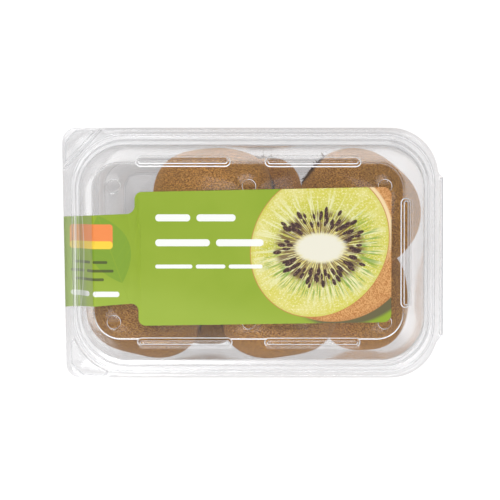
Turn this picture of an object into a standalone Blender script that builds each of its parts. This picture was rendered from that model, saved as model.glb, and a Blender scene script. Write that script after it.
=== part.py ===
# A hinged clear pack of whole kiwifruit with a label film over its lid, in metres with +Z up.
# The pack lies on its tray. The hinge is at the +X end and the lid opens upwards from the -X end.
import math

import bmesh
import bpy
from mathutils import Matrix, Vector

MM = 0.001

# Pack
RIM_Z = 66.0 * MM
PANEL_Z = 91.5 * MM
WALL = 0.6 * MM
RIM_GAP = 0.15 * MM
TAPER = 0.18
HINGE = Vector((95.25 * MM, 0.0, RIM_Z))

# Rim, seen from above: left, right, bottom, top, radius of left corners, radius of right corners
FLANGE = (-94.35, 92.6, -62.5, 62.5, 6.5, 24.0)
TRAY_MOUTH = (-86.0, 85.5, -54.0, 53.7, 20.0, 20.0)
TRAY_HEEL = (-82.4, 82.1, -51.6, 50.8, 17.0, 17.0)
TRAY_FOOT = (-79.0, 78.7, -48.2, 47.4, 14.0, 14.0)
HEEL_HEIGHT = 3.4 * MM

# Lid stations from the flange up to the panel: outline and height above the rim plane
BEAD_FOOT = (-90.2, 90.6, -59.5, 59.5, 27.0, 24.5)
BEAD_TOP = (-89.5, 89.8, -58.7, 58.7, 26.4, 23.8)
BEAD_INNER = (-88.2, 87.6, -56.4, 56.5, 25.4, 22.4)
SHOULDER = (-87.5, 86.8, -55.5, 55.8, 25.0, 22.0)
WALL_FOOT = (-86.0, 85.0, -53.0, 53.8, 23.6, 21.0)
PANEL = (-77.8, 73.1, -41.3, 44.7, 12.0, 12.0)

# Raised ribs across the panel's edge: centre x, centre y, length along x, length along y
RIBS = ((-34.1, 45.15, 46.0, 4.9), (29.1, 45.0, 46.6, 4.9), (-33.3, -42.9, 46.2, 4.7),
        (28.9, -43.0, 46.7, 4.7), (74.3, 0.7, 4.9, 53.4))
RIB_HEIGHT = 1.2 * MM
RIB_DEPTH = 8.0 * MM
RIB_DRAFT = 0.5 * MM

# Round dimples pressed into the panel
DIMPLE_COLUMNS = (-67.7, -2.0, 64.1)
DIMPLE_ROWS = (-33.0, 33.1)
DIMPLE_RADIUS = 3.2 * MM
DIMPLE_DEPTH = 0.8 * MM

# Label film
LABEL_GAP = 0.3 * MM
LABEL_THICK = 0.15 * MM
LABEL_RIGHT = 67.2
LABEL_LEFT_TURN = 62.0
LABEL_CORNER = 4.0
TAB_TOP = (19.65, 0.043)
TAB_BOTTOM = (-24.1, -0.084)
BLOCK_TOP = (31.5, 0.0204)
BLOCK_BOTTOM = (-33.9, 0.0140)

# Fruit: centre in mm, half length, half width, half thickness, turn about Z in degrees, how full its ends are
FULL = (2.6, 2.5)
ROUND = (2.15, 2.1)
FRUIT = {
    "kiwi_1": ((-19.5, 26.6, 65.2), (30.3, 25.9, 23.2), 3.0, FULL),
    "kiwi_2": ((53.4, 22.4, 62.2), (31.4, 28.4, 23.2), 141.0, ROUND),
    "kiwi_3": ((-53.4, -25.8, 63.2), (29.6, 26.0, 23.2), 347.0, FULL),
    "kiwi_4": ((12.6, -26.6, 63.2), (29.6, 26.0, 23.2), 185.0, FULL),
    "kiwi_5": ((57.3, -24.4, 25.0), (27.4, 23.6, 22.8), 92.0, FULL),
    "kiwi_6": ((4.8, 24.0, 23.0), (25.2, 21.6, 21.6), 90.0, FULL),
    "kiwi_7": ((-24.2, -22.6, 23.2), (26.4, 22.8, 22.0), 80.0, FULL),
}
FRUIT_SIDES = 20
FRUIT_RINGS = 11

CORNER_STEPS = 7


def material(name, colour, roughness, alpha=1.0):
    made = bpy.data.materials.new(name)
    made.use_nodes = True
    shader = made.node_tree.nodes["Principled BSDF"]
    shader.inputs["Base Color"].default_value = (*colour, 1.0)
    shader.inputs["Roughness"].default_value = roughness
    shader.inputs["Metallic"].default_value = 0.0
    shader.inputs["Alpha"].default_value = alpha
    return made


def new_object(name, mesh_data, surface):
    made = bpy.data.objects.new(name, mesh_data)
    bpy.context.scene.collection.objects.link(made)
    if surface:
        made.data.materials.append(surface)
    return made


def mesh_of(name, points, faces):
    data = bpy.data.meshes.new(name)
    data.from_pydata(points, [], faces)
    shape = bmesh.new()
    shape.from_mesh(data)
    bmesh.ops.recalc_face_normals(shape, faces=shape.faces)
    shape.to_mesh(data)
    shape.free()
    data.validate()
    return data


def tapered(x, y):
    # The left end of the rim is a little wider at the top of the plan than at the bottom.
    return x + TAPER * y * min(0.0, x)


def grown(outline, by):
    left, right, bottom, top, r_left, r_right = outline
    return (left - by, right + by, bottom - by, top + by, max(r_left + by, 0.5), max(r_right + by, 0.5))


def outline_points(outline, z):
    left, right, bottom, top, r_left, r_right = (v * MM for v in outline)
    corners = ((right - r_right, top - r_right, r_right, 0), (left + r_left, top - r_left, r_left, 90),
               (left + r_left, bottom + r_left, r_left, 180), (right - r_right, bottom + r_right, r_right, 270))
    points = []
    for cx, cy, radius, start in corners:
        for step in range(CORNER_STEPS):
            angle = math.radians(start + 90.0 * step / (CORNER_STEPS - 1))
            x = cx + radius * math.cos(angle)
            y = cy + radius * math.sin(angle)
            points.append((tapered(x, y), y, z))
    return points


def loft(name, rings):
    count = len(rings[0])
    points = [p for ring in rings for p in ring]
    faces = [tuple(range(count - 1, -1, -1))]
    for k in range(len(rings) - 1):
        for i in range(count):
            j = (i + 1) % count
            faces.append((k * count + i, k * count + j, (k + 1) * count + j, (k + 1) * count + i))
    last = (len(rings) - 1) * count
    faces.append(tuple(range(last, last + count)))
    return mesh_of(name, points, faces)


def prism(name, plan, z0, z1, draft=0.0):
    # The plan is a list of x, y corners. The top face may be drawn in by the draft.
    count = len(plan)
    cx = sum(p[0] for p in plan) / count
    cy = sum(p[1] for p in plan) / count
    upper = []
    for x, y in plan:
        reach = math.hypot(x - cx, y - cy)
        keep = max(0.0, 1.0 - draft / reach) if reach else 1.0
        upper.append((cx + (x - cx) * keep, cy + (y - cy) * keep, z1))
    return loft(name, [[(x, y, z0) for x, y in plan], upper])


def stadium(cx, cy, length_x, length_y, grow=0.0, steps=7):
    half_x = length_x * MM / 2 + grow
    half_y = length_y * MM / 2 + grow
    radius = min(half_x, half_y)
    plan = []
    for sx, sy, start in ((1, 1, 0), (-1, 1, 90), (-1, -1, 180), (1, -1, 270)):
        for step in range(steps):
            angle = math.radians(start + 90.0 * step / (steps - 1))
            x = cx * MM + sx * (half_x - radius) + radius * math.cos(angle)
            y = cy * MM + sy * (half_y - radius) + radius * math.sin(angle)
            if not plan or math.hypot(x - plan[-1][0], y - plan[-1][1]) > 1e-6:
                plan.append((x, y))
    if math.hypot(plan[0][0] - plan[-1][0], plan[0][1] - plan[-1][1]) < 1e-6:
        plan.pop()
    return plan


def rib_mesh(name, rib, grow, top):
    cx, cy, length_x, length_y = rib
    lower = stadium(cx, cy, length_x, length_y, grow + RIB_DRAFT)
    upper = stadium(cx, cy, length_x, length_y, grow - RIB_DRAFT)
    rings = [[(x, y, PANEL_Z - RIB_DEPTH) for x, y in lower], [(x, y, top) for x, y in upper]]
    return loft(name, rings)


def dimple_mesh(name, cx, cy, radius, bottom):
    steps = 16
    plan = []
    for step in range(steps):
        angle = math.tau * step / steps
        plan.append((cx * MM + radius * math.cos(angle), cy * MM + radius * math.sin(angle)))
    return loft(name, [[(x, y, bottom) for x, y in plan], [(x, y, PANEL_Z + 3 * MM) for x, y in plan]])


def combine(target, meshes, operation, title):
    # One Boolean takes all the helpers, which are then removed.
    group = bpy.data.collections.new(title)
    bpy.context.scene.collection.children.link(group)
    helpers = []
    for number, data in enumerate(meshes):
        helper = bpy.data.objects.new(f"{title}_{number}", data)
        helper.hide_render = True
        helper.display_type = "WIRE"
        group.objects.link(helper)
        helpers.append(helper)
    change = target.modifiers.new(title, "BOOLEAN")
    change.operand_type = "COLLECTION"
    change.collection = group
    change.operation = operation
    change.solver = "EXACT"
    apply_modifiers(target)
    for helper in helpers:
        bpy.data.objects.remove(helper)
    bpy.data.collections.remove(group)


def apply_modifiers(target):
    bpy.context.view_layer.update()
    graph = bpy.context.evaluated_depsgraph_get()
    data = bpy.data.meshes.new_from_object(target.evaluated_get(graph))
    old = target.data
    target.modifiers.clear()
    target.data = data
    bpy.data.meshes.remove(old)


def cut(target, data, title):
    combine(target, [data], "DIFFERENCE", title)


def hinge_bar(z0, z1):
    near = 88.0 * MM
    far = HINGE.x - RIM_GAP
    low, high, chamfer = -43.5 * MM, 40.0 * MM, 2.2 * MM
    plan = [(near, low), (far - chamfer, low), (far, low + chamfer), (far, high - chamfer),
            (far - chamfer, high), (near, high)]
    return prism("hinge_bar", plan, z0, z1)


def ridge(x0, y0, x1, y1, width, z0, z1):
    along = Vector((x1 - x0, y1 - y0)).normalized()
    side = Vector((-along.y, along.x)) * width / 2
    plan = [(x0 + s * side.x, y0 + s * side.y) for s in (1, -1)]
    plan += [(x1 + s * side.x, y1 + s * side.y) for s in (-1, 1)]
    return prism("ridge", [(x * MM, y * MM) for x, y in plan], z0, z1, 0.2 * MM)


def make_tray(surface):
    top = RIM_Z - RIM_GAP
    under = top - WALL
    inner = -WALL / MM
    rings = [
        outline_points(TRAY_FOOT, 0.0),
        outline_points(TRAY_HEEL, HEEL_HEIGHT),
        outline_points(TRAY_MOUTH, under),
        outline_points(FLANGE, under),
        outline_points(FLANGE, top),
        outline_points(grown(TRAY_MOUTH, inner), top),
        outline_points(grown(TRAY_HEEL, inner), HEEL_HEIGHT + 0.25 * MM),
        outline_points(grown(TRAY_FOOT, inner + 0.25), WALL),
    ]
    tray = new_object("tray", loft("tray", rings), surface)
    combine(tray, [hinge_bar(under - 0.1 * MM, top + 0.03 * MM)], "UNION", "tray_hinge_bar")
    return tray


def lid_stations(inset, drop):
    # From the panel's edge down to the bead's foot.
    steps = ((grown(PANEL, -0.8), PANEL_Z), (PANEL, PANEL_Z - 0.3 * MM), (grown(PANEL, 0.45), PANEL_Z - 1.2 * MM),
             (WALL_FOOT, RIM_Z + 5.8 * MM), (SHOULDER, RIM_Z + 5.2 * MM), (BEAD_INNER, RIM_Z + 3.6 * MM),
             (BEAD_TOP, RIM_Z + 3.2 * MM))
    return [outline_points(grown(outline, -inset), z - drop) for outline, z in steps]


def make_lid(surface):
    bottom = RIM_Z + RIM_GAP
    top = bottom + WALL
    outer = lid_stations(0.0, 0.0)
    outer += [outline_points(BEAD_FOOT, top), outline_points(FLANGE, top), outline_points(FLANGE, bottom)]
    lid = new_object("lid", loft("lid", outer), surface)
    ribs = [rib_mesh("rib", rib, 0.0, PANEL_Z + RIB_HEIGHT) for rib in RIBS]
    ribs.append(hinge_bar(bottom - 0.03 * MM, top + 0.1 * MM))
    ribs.append(ridge(-93.2, 43.2, -76.6, 60.4, 1.0, bottom + 0.2 * MM, top + 0.5 * MM))
    pad = [(-91.9, -42.2), (-90.7, -42.2), (-73.4, -59.4), (-74.0, -61.2), (-85.4, -61.4), (-91.5, -55.3)]
    ribs.append(prism("finger_pad", [(x * MM, y * MM) for x, y in pad], bottom + 0.2 * MM, top + 0.6 * MM, 0.5 * MM))
    combine(lid, ribs, "UNION", "lid_ribs")
    spots = [(x, y) for x in DIMPLE_COLUMNS for y in DIMPLE_ROWS]
    floor = PANEL_Z - DIMPLE_DEPTH
    combine(lid, [dimple_mesh("dimple", x, y, DIMPLE_RADIUS, floor) for x, y in spots], "DIFFERENCE", "lid_dimples")

    inset = WALL / MM
    inner = lid_stations(inset, WALL)
    inner += [outline_points(grown(BEAD_FOOT, -inset), top - 0.1 * MM),
              outline_points(grown(BEAD_FOOT, -inset), bottom - 1.0 * MM)]
    hollow = new_object("lid_hollow", loft("lid_hollow", inner), None)
    hollow.hide_render = True
    hollow.display_type = "WIRE"
    combine(hollow, [rib_mesh("rib", rib, -WALL, PANEL_Z + RIB_HEIGHT - WALL) for rib in RIBS], "UNION", "hollow_ribs")
    posts = [dimple_mesh("post", x, y, DIMPLE_RADIUS + WALL, floor - WALL) for x, y in spots]
    combine(hollow, posts, "DIFFERENCE", "hollow_posts")
    cut(lid, hollow.data.copy(), "lid_inside")
    bpy.data.objects.remove(hollow)
    return lid


def offset_path(points, distance):
    moved = []
    for i, (x, z) in enumerate(points):
        normals = []
        for a, b in ((i - 1, i), (i, i + 1)):
            if a >= 0 and b < len(points):
                dx, dz = points[b][0] - points[a][0], points[b][1] - points[a][1]
                length = math.hypot(dx, dz)
                normals.append((dz / length, -dx / length))
        nx = sum(n[0] for n in normals) / len(normals)
        nz = sum(n[1] for n in normals) / len(normals)
        scale = distance / max(nx * nx + nz * nz, 0.35)
        moved.append((x + nx * scale, z + nz * scale))
    return moved


def smooth(t):
    t = min(max(t, 0.0), 1.0)
    return t * t * (3.0 - 2.0 * t)


def label_edges(x):
    # Upper and lower edge of the label at a distance x along the pack, in mm.
    step = 8.0
    tab_top = TAB_TOP[0] + TAB_TOP[1] * (x + LABEL_LEFT_TURN)
    tab_low = TAB_BOTTOM[0] - TAB_BOTTOM[1] * (x + LABEL_LEFT_TURN)
    top = tab_top + (BLOCK_TOP[0] + BLOCK_TOP[1] * x - tab_top) * smooth((x + LABEL_LEFT_TURN) / step)
    low = tab_low + (BLOCK_BOTTOM[0] + BLOCK_BOTTOM[1] * x - tab_low) * smooth((x + LABEL_LEFT_TURN - 1.5) / step)
    near = x - (LABEL_RIGHT - LABEL_CORNER)
    if near > 0.0:
        back = LABEL_CORNER - math.sqrt(max(LABEL_CORNER ** 2 - near ** 2, 0.0))
        top -= back
        low += back
    return top, low


def label_path():
    # Along the panel from the right, then down the wall and over the bead to the flange's edge.
    xs = [LABEL_RIGHT - LABEL_CORNER * (1.0 - math.sin(math.radians(a))) for a in (90, 66, 45, 25, 0)]
    xs += [40.0, 10.0, -20.0, -46.0, -51.5]
    xs += [-52.5 - step for step in range(10)]
    xs += [-66.0]
    flat = [(x * MM, PANEL_Z) for x in xs]
    drop = [(PANEL[0] + 0.8, 25.5), (PANEL[0], 25.2), (PANEL[0] - 0.45, 24.3), (WALL_FOOT[0], 5.8),
            (SHOULDER[0], 5.2), (BEAD_INNER[0], 3.6), (BEAD_TOP[0], 3.2), (BEAD_FOOT[0], 0.9),
            (FLANGE[0], 0.75)]
    bend = [(x * MM, RIM_Z + z * MM) for x, z in drop]
    return flat + bend


def make_label(surface):
    path = label_path()
    lower = offset_path(path, LABEL_GAP)
    upper = offset_path(path, LABEL_GAP + LABEL_THICK)
    rings = []
    for (x, _), (xl, zl), (xu, zu) in zip(path, lower, upper):
        top, low = label_edges(x / MM)
        middle = (top + low) / 2
        ring = [(xu, top, zu), (xu, middle, zu), (xu, low, zu), (xl, low, zl), (xl, middle, zl), (xl, top, zl)]
        rings.append([(tapered(px, py * MM), py * MM, pz) for px, py, pz in ring])
    return new_object("label", loft("label", rings), surface)


def fruit_profile(bulge):
    # Along the fruit from its stem end to its calyx end, as parts of the half length and half width.
    profile = [(-0.972, 0.0), (-0.985, 0.07)]
    for step in range(FRUIT_RINGS):
        x = -0.97 + 1.925 * (1.0 - math.cos(math.pi * step / (FRUIT_RINGS - 1))) / 2
        profile.append((x, (1.0 - abs(x) ** bulge[0]) ** (1 / bulge[1])))
    profile += [(0.964, 0.20), (0.964, 0.13), (0.992, 0.11), (1.0, 0.0)]
    return profile


def make_fruit(name, centre, half, turn, bulge, surface):
    length, width, thick = (v * MM for v in half)
    profile = fruit_profile(bulge)
    points = [(profile[0][0] * length, 0.0, 0.0)]
    for x, r in profile[1:-1]:
        for side in range(FRUIT_SIDES):
            angle = math.tau * side / FRUIT_SIDES
            points.append((x * length, r * width * math.cos(angle), r * thick * math.sin(angle)))
    points.append((profile[-1][0] * length, 0.0, 0.0))
    faces = []
    rows = len(profile) - 2
    for side in range(FRUIT_SIDES):
        after = (side + 1) % FRUIT_SIDES
        faces.append((0, 1 + side, 1 + after))
        for row in range(rows - 1):
            a = 1 + row * FRUIT_SIDES
            b = a + FRUIT_SIDES
            faces.append((a + side, b + side, b + after, a + after))
        last = 1 + (rows - 1) * FRUIT_SIDES
        faces.append((last + after, last + side, len(points) - 1))
    made = new_object(name, mesh_of(name, points, faces), surface)
    for polygon in made.data.polygons:
        polygon.use_smooth = True
    made.location = [v * MM for v in centre]
    made.rotation_euler = (0.0, 0.0, math.radians(turn))
    return made


def set_origin(piece, point):
    piece.data.transform(Matrix.Translation(-point))
    piece.location = point


def main():
    for old in list(bpy.data.objects):
        bpy.data.objects.remove(old)
    make_tray(material("tray_plastic", (0.85, 0.86, 0.87), 0.08, 0.25))
    lid = make_lid(material("lid_plastic", (0.86, 0.87, 0.88), 0.08, 0.25))
    label = make_label(material("label_film", (0.32, 0.47, 0.05), 0.3))
    set_origin(lid, HINGE)
    set_origin(label, HINGE)
    label.parent = lid
    label.matrix_parent_inverse = Matrix.Translation(-HINGE)
    for name, (centre, half, turn, bulge) in FRUIT.items():
        make_fruit(name, centre, half, turn, bulge, material(name + "_skin", (0.29, 0.16, 0.06), 0.85))


main()
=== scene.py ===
# A clear hinged pack of whole kiwi fruit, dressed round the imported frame, in metres with +Z up.
# The outlines and heights of the plastic and the label are in millimetres.
import math

import bmesh
import bpy
import numpy as np
from mathutils import Matrix, Vector
from mathutils.geometry import delaunay_2d_cdt


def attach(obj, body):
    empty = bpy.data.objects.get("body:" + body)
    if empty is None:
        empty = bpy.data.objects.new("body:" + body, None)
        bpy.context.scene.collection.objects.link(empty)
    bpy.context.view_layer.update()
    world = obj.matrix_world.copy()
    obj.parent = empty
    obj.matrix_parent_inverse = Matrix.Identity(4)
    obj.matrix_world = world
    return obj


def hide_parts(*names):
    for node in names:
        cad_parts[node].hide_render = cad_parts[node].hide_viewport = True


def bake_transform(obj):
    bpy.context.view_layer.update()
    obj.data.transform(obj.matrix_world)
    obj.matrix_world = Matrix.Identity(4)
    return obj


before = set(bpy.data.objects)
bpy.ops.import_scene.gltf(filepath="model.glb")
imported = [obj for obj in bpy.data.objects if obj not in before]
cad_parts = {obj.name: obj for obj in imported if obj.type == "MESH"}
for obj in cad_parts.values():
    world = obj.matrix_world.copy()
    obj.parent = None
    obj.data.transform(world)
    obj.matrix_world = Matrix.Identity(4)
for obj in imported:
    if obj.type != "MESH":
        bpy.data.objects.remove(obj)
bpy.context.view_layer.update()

MM = 0.001
RIM = 66.0
TAPER = 0.00018
FILM = 0.25

# Photograph's view: the camera stands over the pack, a little towards its far side
LOOK_AT = Vector((-1.5, 1.5, 66.0)) * MM
CAMERA_DISTANCE = 0.9
CAMERA_TILT = math.radians(1.5)
VIEW_WIDTH = 0.25
SENSOR = 36.0

# The floor's painted pool of light, in metres, and its screen greys, which are brightest past the pack's far
# side and darkest in the painted shadow under the pack
POOL = (-0.19, 0.27, -0.14, 0.19)
POOL_FAR = (0.1, 0.125)
POOL_DIM = 84
POOL_BRIGHT = 218
POOL_FAR_GREY = 242
POOL_GLOW = 1.6
FLOOR_GREYS = (186, 190)
FLOOR_SHADOW_TONE = (104, 98, 100)
FLOOR_OUTER_GREY = 92
# The pack's footprint and the painted shadow in it: its glow grey, lighter on the near side and at the right
# end, then the box under the pack where the painted shadow is darkest, and its grey
PACK_FOOT = (-0.104, 0.1015, -0.0695, 0.0665)
PACK_GREY = 158
NEAR_GREY = 170
RIGHT_GREY = 184
PACK_SHADOW_BOX = (-0.073, 0.073, -0.042, 0.046)
PACK_SHADOW_GREY = 143

# Outlines seen from above: left, right, bottom, top, radius of left corners, radius of right corners
FLANGE = (-94.35, 92.6, -62.5, 62.5, 6.5, 24.0)
BEAD_FOOT = (-90.2, 90.6, -59.5, 59.5, 27.0, 24.5)
BEAD_TOP = (-89.5, 89.8, -58.7, 58.7, 26.4, 23.8)
BEAD_INNER = (-88.2, 87.6, -56.4, 56.5, 25.4, 22.4)
SHOULDER = (-87.5, 86.8, -55.5, 55.8, 25.0, 22.0)
WALL_FOOT = (-86.0, 85.0, -53.0, 53.8, 23.6, 21.0)
PANEL = (-77.8, 73.1, -41.3, 44.7, 13.0, 12.0)
TRAY_MOUTH = (-86.0, 85.5, -54.0, 53.7, 20.0, 20.0)
TRAY_HEEL = (-82.4, 82.1, -51.6, 50.8, 17.0, 17.0)
TRAY_FOOT = (-79.0, 78.7, -48.2, 47.4, 14.0, 14.0)
TRAY_STEP = (-69.0, 69.5, -37.0, 41.5, 9.0, 9.0)

# Lid from the panel out to the flange: distance out from the panel's edge, outline, height, rounding
LID_TOP = 91.5
LID_FLANGE = RIM + 0.45
LID_STATIONS = (
    (-3.2, None, LID_TOP, 0.0),
    (0.0, PANEL, LID_TOP, 1.3),
    (9.1, WALL_FOOT, RIM + 5.8, 0.7),
    (11.1, SHOULDER, RIM + 5.2, 0.5),
    (11.8, BEAD_INNER, RIM + 3.6, 0.3),
    (14.0, BEAD_TOP, RIM + 3.2, 0.5),
    (14.8, BEAD_FOOT, LID_FLANGE, 0.3),
    (15.4, None, LID_FLANGE, 0.0),
)

# Raised ribs across the panel's edge: centre x, centre y, length along x, length along y
RIBS = ((-34.1, 45.15, 46.0, 4.9), (29.1, 45.0, 46.6, 4.9), (-33.3, -42.9, 46.2, 4.7),
        (28.9, -43.0, 46.7, 4.7), (74.3, 0.7, 4.9, 53.4))
RIB_TOP = LID_TOP + 1.15
RIB_SLOPE = 1.45

DIMPLE_COLUMNS = (-67.7, -2.0, 64.1)
DIMPLE_ROWS = (-33.0, 33.1)
DIMPLE_RADIUS = 3.3
DIMPLE_DEPTH = 0.8

# Hinge bar along the flange's right end, the corner ridge and the finger pad
BAR_LOW = -43.5
BAR_HIGH = 40.0
BAR_CHAMFER = 2.2
BAR_EDGE = 95.1
RIDGE = ((-93.8, 42.4), (-76.4, 61.1))
RIDGE_WIDTH = 1.0
RIDGE_HEIGHT = 0.4
CORNER_PAD = ((-94.0, 44.6), (-78.6, 61.0), (-88.5, 61.2), (-93.9, 55.6))
PAD_CORNERS = ((-91.9, -44.5), (-91.9, -55.3), (-85.4, -61.4), (-75.0, -61.4))
PAD_CLEAR = 0.7
RELIEF_HEIGHT = 0.5

# Label film
LABEL_LIFT = 0.12
LABEL_THICK = 0.1
LABEL_RIGHT = 67.2
LABEL_LEFT_TURN = 62.0
LABEL_CORNER = 4.0
STEP_TOP = -61.2
STEP_BOTTOM = -59.9
STEP_RADII = (3.9, 3.5)
LABEL_ROWS = (0.0, 0.003, 0.01, 0.12, 0.3, 0.5, 0.7, 0.88, 0.99, 0.997, 1.0)
LABEL_FLAT_END = -75.0
TAB_TOP = (19.65, 0.043)
TAB_BOTTOM = (-24.1, 0.084)
BLOCK_TOP = (31.5, 0.0204)
BLOCK_BOTTOM = (-33.9, 0.0140)

CORNER_STEPS = 24

# Folds of the sheet: it is marked where it bends, from the first of these (in 1/mm) up to the second; the
# mark carries painted highlight and painted shade on the plastic and painted highlight on the label. Above
# FOLD_TOP painted highlight lines are drawn instead
FOLD_MARK = "fold"
FOLD_BENDS = (0.35, 1.1)
FOLD_TOP = 84.0


def srgb(red, green, blue):
    # A screen colour from 0 to 255 as the linear colour that a shader takes.
    parts = []
    for value in (red, green, blue):
        share = value / 255.0
        parts.append(share / 12.92 if share <= 0.04045 else ((share + 0.055) / 1.055) ** 2.4)
    return (*parts, 1.0)


def grey(level):
    return srgb(level, level, level)


def toned(colour, tone):
    # The same colour, lighter or darker.
    return tuple(value * tone for value in colour[:3]) + (1.0,)


def math_node(operation, swapped=False):
    # A method of Wire that adds one Math node.
    def method(wire, *others):
        values = (*others, wire) if swapped else (wire, *others)
        return wire.paint.sum(operation, *values)
    return method


class Wire:
    """An output socket of a material. Sums and products of wires add Math nodes."""

    __add__ = math_node("ADD")
    __radd__ = math_node("ADD", True)
    __sub__ = math_node("SUBTRACT")
    __rsub__ = math_node("SUBTRACT", True)
    __mul__ = math_node("MULTIPLY")
    __rmul__ = math_node("MULTIPLY", True)
    __truediv__ = math_node("DIVIDE")
    __pow__ = math_node("POWER")
    __lt__ = math_node("LESS_THAN")
    __abs__ = math_node("ABSOLUTE")
    most = math_node("MAXIMUM")

    def __init__(self, paint, socket):
        self.paint = paint
        self.socket = socket

    def math(self, operation, *others):
        return self.paint.sum(operation, self, *others)

    def ramp(self, low, high):
        # 0 below low, 1 above high and a smooth rise between them; high may be below low.
        settings = {"interpolation_type": "SMOOTHSTEP", "clamp": True}
        if low <= high:
            sockets = {"Value": self, "From Min": low, "From Max": high}
            return self.paint.node("ShaderNodeMapRange", settings, sockets)
        return 1.0 - self.ramp(high, low)


class Paint:
    """A material in the making. Its methods add nodes and give back their wires."""

    def __init__(self, name):
        self.material = bpy.data.materials.new(name)
        self.material.use_nodes = True
        self.tree = self.material.node_tree
        self.tree.nodes.clear()
        self.end = self.tree.nodes.new("ShaderNodeOutputMaterial")

    def feed(self, socket, value):
        if isinstance(value, Wire):
            self.tree.links.new(value.socket, socket)
        else:
            socket.default_value = value

    def node(self, kind, settings=None, sockets=None, out=0):
        # Any node: its settings are set first, then the values or links of its sockets.
        made = self.tree.nodes.new(kind)
        for name, value in (settings or {}).items():
            if name == "stops":
                self.set_stops(made.color_ramp.elements, value)
            else:
                setattr(made, name, value)
        for name, value in (sockets or {}).items():
            self.feed(made.inputs[name], value)
        return Wire(self, made.outputs[out])

    def set_stops(self, elements, stops):
        while len(elements) < len(stops):
            elements.new(1.0)
        for element, (place, colour) in zip(elements, stops):
            element.position = place
            element.color = colour

    def sum(self, operation, *values):
        return self.node("ShaderNodeMath", {"operation": operation}, dict(enumerate(values)))

    def place(self):
        return self.node("ShaderNodeTexCoord", out=3)

    def parts(self, vector):
        first = self.node("ShaderNodeSeparateXYZ", None, {0: vector})
        return [Wire(self, socket) for socket in first.socket.node.outputs]

    def join(self, x, y, z):
        return self.node("ShaderNodeCombineXYZ", None, {0: x, 1: y, 2: z})

    def vector(self, operation, first, second):
        return self.node("ShaderNodeVectorMath", {"operation": operation}, {0: first, 1: second})

    def fold(self):
        # How sharply the sheet is folded here, from 0 to 1, as its mesh is marked.
        return self.node("ShaderNodeAttribute", {"attribute_name": FOLD_MARK}, out=2)

    def noise(self, vector, scale, detail=2.0, roughness=0.5, out=0):
        sockets = {"Vector": vector, "Scale": scale, "Detail": detail, "Roughness": roughness}
        return self.node("ShaderNodeTexNoise", None, sockets, out)

    def chance(self, vector):
        return self.parts(self.node("ShaderNodeTexWhiteNoise", None, {"Vector": vector}, out=1))

    def mix(self, factor, below, above, blend="MIX"):
        settings = {"data_type": "RGBA", "blend_type": blend}
        return self.node("ShaderNodeMix", settings, {0: factor, 6: below, 7: above}, out=2)

    def layers(self, colour, layers):
        # Colours laid over the first one in turn, each as its mask says.
        for mask, over in layers:
            colour = self.mix(mask, colour, over)
        return colour

    def stops(self, factor, stops):
        return self.node("ShaderNodeValToRGB", {"stops": stops}, {0: factor})

    def bump(self, height, strength, distance):
        sockets = {"Strength": strength, "Distance": distance, "Height": height}
        return self.node("ShaderNodeBump", None, sockets)

    def surface(self, **sockets):
        named = {name.replace("_", " "): value for name, value in sockets.items()}
        return self.node("ShaderNodeBsdfPrincipled", None, named)

    def blend(self, factor, first, second):
        return self.node("ShaderNodeMixShader", None, {0: factor, 1: first, 2: second})

    def show(self, shader):
        self.feed(self.end.inputs[0], shader)
        return self.material


def largest(wires):
    most = wires[0]
    for wire in wires[1:]:
        most = most.most(wire)
    return most


# Clear sheet: its shine face on, the grain and depth of its waves, its roughness, and the white of its haze
# and of the painted highlights on its folds, bands and lines
SHEET_SHINE = 0.05
SHEET_WAVES = 40.0
SHEET_LEAN = (0.05, 0.0012)
SHEET_ROUGHNESS = 0.15
WHITE = (1.0, 1.0, 1.0, 1.0)
HAZE_AND_HIGHLIGHT_WHITE = srgb(252, 252, 253)
SHOULDER_HIGHLIGHT = 0.5
CREST_HIGHLIGHT = 0.4

# Painted highlight lines on the lid, in mm: how far out from its fold each lies, and its half width
RIB_FOOT_LINE = (-0.1, 0.26)
RIB_TOP_LINE = (-1.5, 0.26)
PANEL_LINE = (-0.1, 0.3)
DIMPLE_LINE = (0.0, 0.13)
LINE_SOFT = 0.08

# Painted highlight bands outside the wall's foot and on the bead, in mm out from it: start, full, still full,
# end
SHOULDER_BAND = (0.1, 0.5, 1.7, 2.2)
CREST_BAND = (-0.1, 0.2, 1.1, 1.5)

# The lid's panel and ribs lie above these heights, its shoulder and bead below
UPPER_SHEET = (RIM + 20.0, RIM + 21.0)


def clear_plastic(name, tint, haze, fold_highlight, fold_shade_tint, lines=None):
    # Thin clear sheet: it shines more at a slant and has a breath of white. Its folds get a painted highlight
    # in white and painted shade in a darker tint, and the lines drawn on it are painted highlights.
    paint = Paint(name)
    place = paint.place()
    lean = paint.bump(paint.noise(place, SHEET_WAVES, 1.0), *SHEET_LEAN)
    fold = paint.fold()
    facing = paint.node("ShaderNodeLayerWeight", None, {"Blend": 0.5}, out=1)
    shine = SHEET_SHINE + (1.0 - SHEET_SHINE) * facing ** 5.0
    clear = paint.node("ShaderNodeBsdfTransparent", None, {"Color": tint})
    # A darker tint in the folds: painted shade
    shaded_fold = paint.node("ShaderNodeBsdfTransparent", None, {"Color": fold_shade_tint})
    haze_and_highlight = paint.node("ShaderNodeBsdfDiffuse", None, {"Color": HAZE_AND_HIGHLIGHT_WHITE})
    finish = {"Color": WHITE, "Roughness": SHEET_ROUGHNESS, "Normal": lean}
    gloss = paint.node("ShaderNodeBsdfAnisotropic", None, finish)
    through = paint.blend(fold, clear, shaded_fold)
    # White haze, plus painted highlights on the folds and on the drawn lines
    white = haze + fold_highlight * fold
    if lines:
        white = white.most(lines(paint, place))
    body = paint.blend(white, through, haze_and_highlight)
    return paint.show(paint.blend(shine, body, gloss))


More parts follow.
